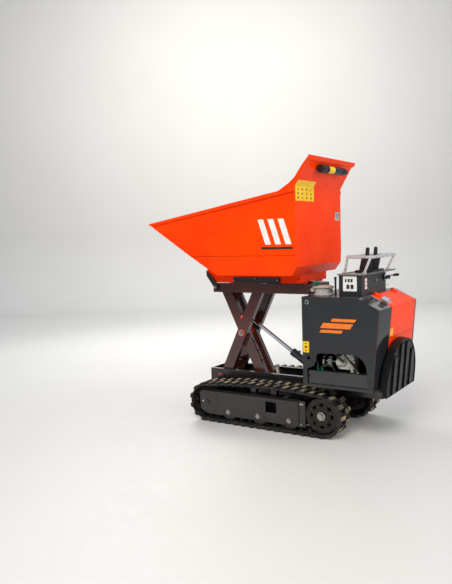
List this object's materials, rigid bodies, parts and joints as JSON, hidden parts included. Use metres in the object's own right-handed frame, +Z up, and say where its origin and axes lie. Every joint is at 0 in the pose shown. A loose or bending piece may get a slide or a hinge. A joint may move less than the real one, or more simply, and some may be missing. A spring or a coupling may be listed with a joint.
{
  "type": "tracked power wheelbarrow",
  "caption": "Tracked power wheelbarrow with a forward-tipping skip on a scissor lift, rear engine house, lever console and fold-down rider step.",
  "frame": {"origin": "on the ground, on the centreline, midway along the machine between the skip lip and the folded rider step", "axes": "+X forward, the way the skip tips; +Y towards the machine's left side; +Z up"},
  "size_m": [1.9652, 0.808, 1.975],
  "materials": {
    "aluminium": "satin",
    "anthracite": "satin",
    "black_gloss": "gloss",
    "black_plastic": "matte",
    "black_satin": "satin",
    "cast_iron": "matte",
    "chrome": "polished",
    "hose_rubber": "matte",
    "maroon_paint": "gloss",
    "nylon": "matte",
    "orange_paint": "gloss",
    "steel": "satin",
    "track_rubber": "matte",
    "zinc": "satin"
  },
  "bodies": {
    "chassis": {"chassis_frame": "black_gloss", "chassis_pins": "zinc", "track_frame_left": "anthracite", "track_frame_right": "anthracite", "track_belt_left": "track_rubber", "track_belt_right": "track_rubber", "track_axles": "zinc", "drive_motors": "cast_iron", "side_panel_left": "anthracite", "side_panel_right": "anthracite", "house_shell": "anthracite", "rear_corner_panel": "anthracite", "rear_skirt": "orange_paint", "house_base": "black_satin", "engine_block": "black_satin", "exhaust_muffler": "black_satin", "hydraulic_tank": "black_satin", "return_filter": "aluminium", "hydraulic_pump": "cast_iron", "hydraulic_hoses": "hose_rubber", "console_box": "anthracite", "console_top": "aluminium", "guard_hoop": "aluminium", "lever_bank": "black_satin", "panel_hardware": "zinc"},
    "outer_arms": {"scissor_outer_arms": "black_gloss", "scissor_centre_bolts": "zinc"},
    "inner_arms": {"scissor_inner_arms": "black_gloss"},
    "upper_frame": {"upper_frame": "black_gloss", "upper_frame_pins": "zinc"},
    "skip": {"skip_body": "orange_paint", "skip_subframe": "maroon_paint", "skip_hinge_plates": "black_gloss", "document_tube": "black_plastic"},
    "lower_blocks": {"lower_slide_blocks": "nylon"},
    "upper_blocks": {"upper_slide_blocks": "nylon"},
    "lift_barrel": {"lift_barrel": "black_gloss"},
    "lift_rod": {"lift_rod": "chrome"},
    "tip_barrel": {"tip_barrel": "black_gloss"},
    "tip_rod": {"tip_rod": "chrome"},
    "engine_cover": {"engine_cover": "orange_paint", "latch_base": "zinc"},
    "latch_lever": {"latch_lever": "zinc"},
    "rider_step": {"rider_step": "black_satin"},
    "pump_drive_shaft": {"pump_drive_shaft": "zinc"},
    "travel_lever_left": {"travel_lever_left": "black_plastic"},
    "travel_lever_right": {"travel_lever_right": "black_plastic"},
    "lift_lever": {"lift_lever": "black_plastic"},
    "tip_lever": {"tip_lever": "black_plastic"},
    "throttle_lever": {"throttle_lever": "black_plastic"},
    "drive_sprocket_left": {"drive_sprocket_left": "steel"},
    "idler_wheel_left": {"idler_wheel_left": "cast_iron"},
    "track_roller_left_1": {"track_roller_left_1": "cast_iron"},
    "track_roller_left_2": {"track_roller_left_2": "cast_iron"},
    "track_roller_left_3": {"track_roller_left_3": "cast_iron"},
    "drive_sprocket_right": {"drive_sprocket_right": "steel"},
    "idler_wheel_right": {"idler_wheel_right": "cast_iron"},
    "track_roller_right_1": {"track_roller_right_1": "cast_iron"},
    "track_roller_right_2": {"track_roller_right_2": "cast_iron"},
    "track_roller_right_3": {"track_roller_right_3": "cast_iron"}
  },
  "joints": [
    {"name": "scissor_foot", "type": "hinge", "parent": "chassis", "child": "outer_arms", "pos_m": [0.475, 0, 0.316], "axis": [0, -1, 0], "range_deg": [0, 52]},
    {"name": "scissor_centre", "type": "hinge", "parent": "outer_arms", "child": "inner_arms", "pos_m": [0.309, 0, 0.668], "axis": [0, -1, 0], "range_deg": [-104, 0]},
    {"name": "scissor_head", "type": "hinge", "parent": "inner_arms", "child": "upper_frame", "pos_m": [0.475, 0, 1.02], "axis": [0, -1, 0], "range_deg": [0, 52]},
    {"name": "lower_block_swivel", "type": "hinge", "parent": "inner_arms", "child": "lower_blocks", "pos_m": [0.143, 0, 0.316], "axis": [0, -1, 0], "range_deg": [0, 52]},
    {"name": "upper_block_swivel", "type": "hinge", "parent": "outer_arms", "child": "upper_blocks", "pos_m": [0.143, 0, 1.02], "axis": [0, -1, 0], "range_deg": [-52, 0]},
    {"name": "lift_cylinder_swing", "type": "hinge", "parent": "chassis", "child": "lift_barrel", "pos_m": [-0.38, 0, 0.33], "axis": [0, -1, 0], "range_deg": [-19.58, 0]},
    {"name": "lift_cylinder_stroke", "type": "slide", "parent": "lift_barrel", "child": "lift_rod", "axis": [0.8295, 0, 0.5586], "range_m": [-0.23752, 0]},
    {"name": "skip_tip", "type": "hinge", "parent": "upper_frame", "child": "skip", "pos_m": [0.505, 0, 1.035], "axis": [0, 1, 0], "range_deg": [0, 62]},
    {"name": "tip_cylinder_swing", "type": "hinge", "parent": "upper_frame", "child": "tip_barrel", "pos_m": [-0.29, 0, 1.008], "axis": [0, -1, 0], "range_deg": [0, 12.33]},
    {"name": "tip_cylinder_stroke", "type": "slide", "parent": "tip_barrel", "child": "tip_rod", "axis": [0.9841, 0, 0.1779], "range_m": [0, 0.25682]},
    {"name": "sprocket_spin_left", "type": "hinge", "parent": "chassis", "child": "drive_sprocket_left", "pos_m": [-0.492, 0.3, 0.15801], "axis": [0, 1, 0], "continuous": true},
    {"name": "idler_spin_left", "type": "hinge", "parent": "chassis", "child": "idler_wheel_left", "pos_m": [0.48835, 0.3, 0.15201], "axis": [0, 1, 0], "continuous": true},
    {"name": "roller_spin_left_1", "type": "hinge", "parent": "chassis", "child": "track_roller_left_1", "pos_m": [0.285, 0.3, 0.094], "axis": [0, 1, 0], "continuous": true},
    {"name": "roller_spin_left_2", "type": "hinge", "parent": "chassis", "child": "track_roller_left_2", "pos_m": [0.022, 0.3, 0.094], "axis": [0, 1, 0], "continuous": true},
    {"name": "roller_spin_left_3", "type": "hinge", "parent": "chassis", "child": "track_roller_left_3", "pos_m": [-0.238, 0.3, 0.094], "axis": [0, 1, 0], "continuous": true},
    {"name": "sprocket_spin_right", "type": "hinge", "parent": "chassis", "child": "drive_sprocket_right", "pos_m": [-0.492, -0.3, 0.15801], "axis": [0, 1, 0], "continuous": true},
    {"name": "idler_spin_right", "type": "hinge", "parent": "chassis", "child": "idler_wheel_right", "pos_m": [0.48835, -0.3, 0.15201], "axis": [0, 1, 0], "continuous": true},
    {"name": "roller_spin_right_1", "type": "hinge", "parent": "chassis", "child": "track_roller_right_1", "pos_m": [0.285, -0.3, 0.094], "axis": [0, 1, 0], "continuous": true},
    {"name": "roller_spin_right_2", "type": "hinge", "parent": "chassis", "child": "track_roller_right_2", "pos_m": [0.022, -0.3, 0.094], "axis": [0, 1, 0], "continuous": true},
    {"name": "roller_spin_right_3", "type": "hinge", "parent": "chassis", "child": "track_roller_right_3", "pos_m": [-0.238, -0.3, 0.094], "axis": [0, 1, 0], "continuous": true},
    {"name": "pump_shaft_spin", "type": "hinge", "parent": "chassis", "child": "pump_drive_shaft", "pos_m": [-0.6, 0.3, 0.545], "axis": [1, 0, 0], "continuous": true},
    {"name": "engine_cover_hinge", "type": "hinge", "parent": "chassis", "child": "engine_cover", "pos_m": [-0.785, 0, 1.01], "axis": [0, 1, 0], "range_deg": [0, 60]},
    {"name": "cover_latch", "type": "hinge", "parent": "engine_cover", "child": "latch_lever", "pos_m": [-0.879, 0.13, 0.9692], "axis": [1, 0, 0], "range_deg": [0, 110]},
    {"name": "step_fold", "type": "hinge", "parent": "chassis", "child": "rider_step", "pos_m": [-0.904, 0, 0.352], "axis": [0, -1, 0], "range_deg": [0, 84.6]},
    {"name": "travel_lever_left_swing", "type": "hinge", "parent": "chassis", "child": "travel_lever_left", "pos_m": [-0.7, 0.04, 1.18], "axis": [0, 1, 0], "range_deg": [-18, 18]},
    {"name": "travel_lever_right_swing", "type": "hinge", "parent": "chassis", "child": "travel_lever_right", "pos_m": [-0.7, -0.12, 1.18], "axis": [0, 1, 0], "range_deg": [-18, 18]},
    {"name": "lift_lever_swing", "type": "hinge", "parent": "chassis", "child": "lift_lever", "pos_m": [-0.7, -0.01, 1.18], "axis": [0, 1, 0], "range_deg": [-15, 15]},
    {"name": "tip_lever_swing", "type": "hinge", "parent": "chassis", "child": "tip_lever", "pos_m": [-0.7, -0.06, 1.18], "axis": [0, 1, 0], "range_deg": [-15, 15]},
    {"name": "throttle_swing", "type": "hinge", "parent": "chassis", "child": "throttle_lever", "pos_m": [-0.715, -0.27, 1.1], "axis": [0, 1, 0], "range_deg": [-35, 0]}
  ],
  "couplings": [
    {"joint": "scissor_centre", "follows": "scissor_foot", "ratio": -2},
    {"joint": "scissor_head", "follows": "scissor_foot", "ratio": 1},
    {"joint": "lower_block_swivel", "follows": "scissor_foot", "ratio": 1},
    {"joint": "upper_block_swivel", "follows": "scissor_foot", "ratio": -1},
    {"joint": "lift_cylinder_swing", "follows": "scissor_foot", "ratio": -0.37626},
    {"joint": "lift_cylinder_stroke", "follows": "scissor_foot", "m_per_rad": -0.2616},
    {"joint": "tip_cylinder_swing", "follows": "skip_tip", "ratio": 0.19865},
    {"joint": "tip_cylinder_stroke", "follows": "skip_tip", "m_per_rad": 0.23725},
    {"joint": "idler_spin_left", "follows": "sprocket_spin_left", "ratio": 1.0456},
    {"joint": "roller_spin_left_1", "follows": "sprocket_spin_left", "ratio": 2.0222},
    {"joint": "roller_spin_left_2", "follows": "sprocket_spin_left", "ratio": 2.0222},
    {"joint": "roller_spin_left_3", "follows": "sprocket_spin_left", "ratio": 2.0222},
    {"joint": "idler_spin_right", "follows": "sprocket_spin_right", "ratio": 1.0456},
    {"joint": "roller_spin_right_1", "follows": "sprocket_spin_right", "ratio": 2.0222},
    {"joint": "roller_spin_right_2", "follows": "sprocket_spin_right", "ratio": 2.0222},
    {"joint": "roller_spin_right_3", "follows": "sprocket_spin_right", "ratio": 2.0222}
  ]
}
